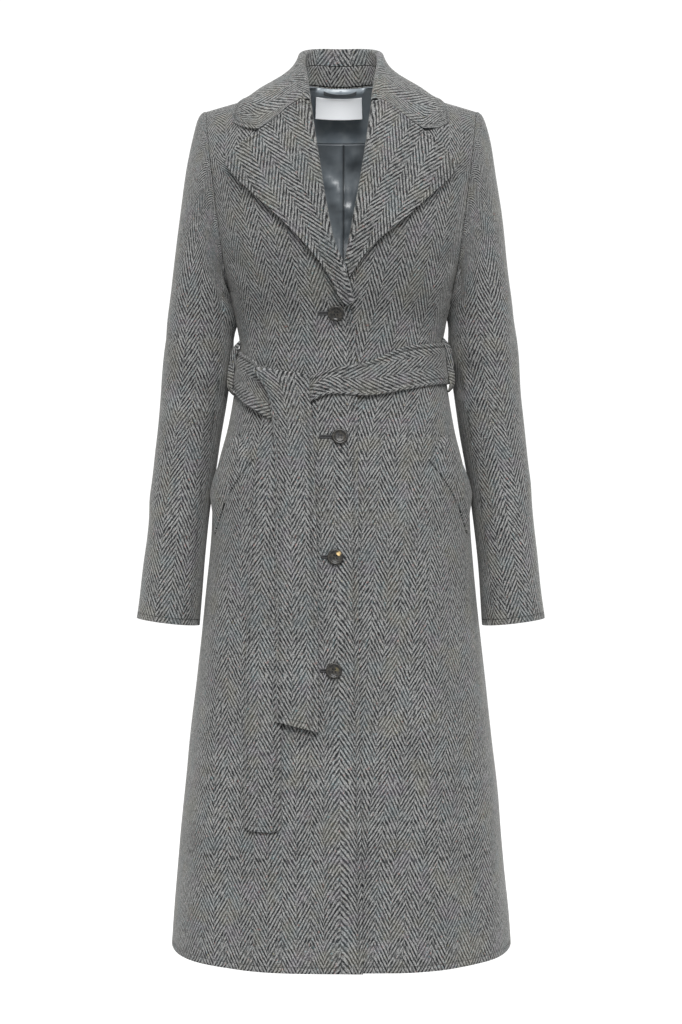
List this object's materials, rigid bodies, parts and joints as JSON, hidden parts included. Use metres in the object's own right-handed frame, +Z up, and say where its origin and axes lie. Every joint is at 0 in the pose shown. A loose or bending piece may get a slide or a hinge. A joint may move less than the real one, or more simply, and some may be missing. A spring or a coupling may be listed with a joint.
{
  "type": "wool overcoat",
  "caption": "Knee-length wool overcoat with notched lapels, a tied belt, slanted pockets and a buttoned front, filled out as worn with no wearer in it.",
  "frame": {"origin": "base of the neck, midway between the neck ends of the two shoulder seams", "axes": "+Z up along the wearer's spine, -Y out of the front, +X to the wearer's left"},
  "size_m": [0.5306, 0.3457, 1.1926],
  "materials": {
    "wool": "brushed grey herringbone wool",
    "lining": "smooth blue-grey satin",
    "label": "woven white ribbon, blank",
    "horn": "dark mottled horn, polished"
  },
  "bodies": {
    "root": {"back": "wool", "front_right": "wool", "front_left": "wool", "sleeve_top_right": "wool", "sleeve_top_left": "wool", "sleeve_under_right": "wool", "sleeve_under_left": "wool", "lapel_right": "wool", "lapel_left": "wool", "collar_fall": "wool", "collar_stand": "wool", "pocket_right": "wool", "pocket_left": "wool", "lining": "lining", "hanger_loop": "lining", "label": "label", "belt_back": "wool", "belt_front_right": "wool", "belt_front_left": "wool", "belt_knot": "wool", "belt_tail_upper": "wool", "belt_tail_lower": "wool", "belt_loop_right": "wool", "belt_loop_left": "wool", "button_1": "horn", "button_2": "horn", "button_3": "horn", "button_4": "horn"}
  },
  "joints": []
}
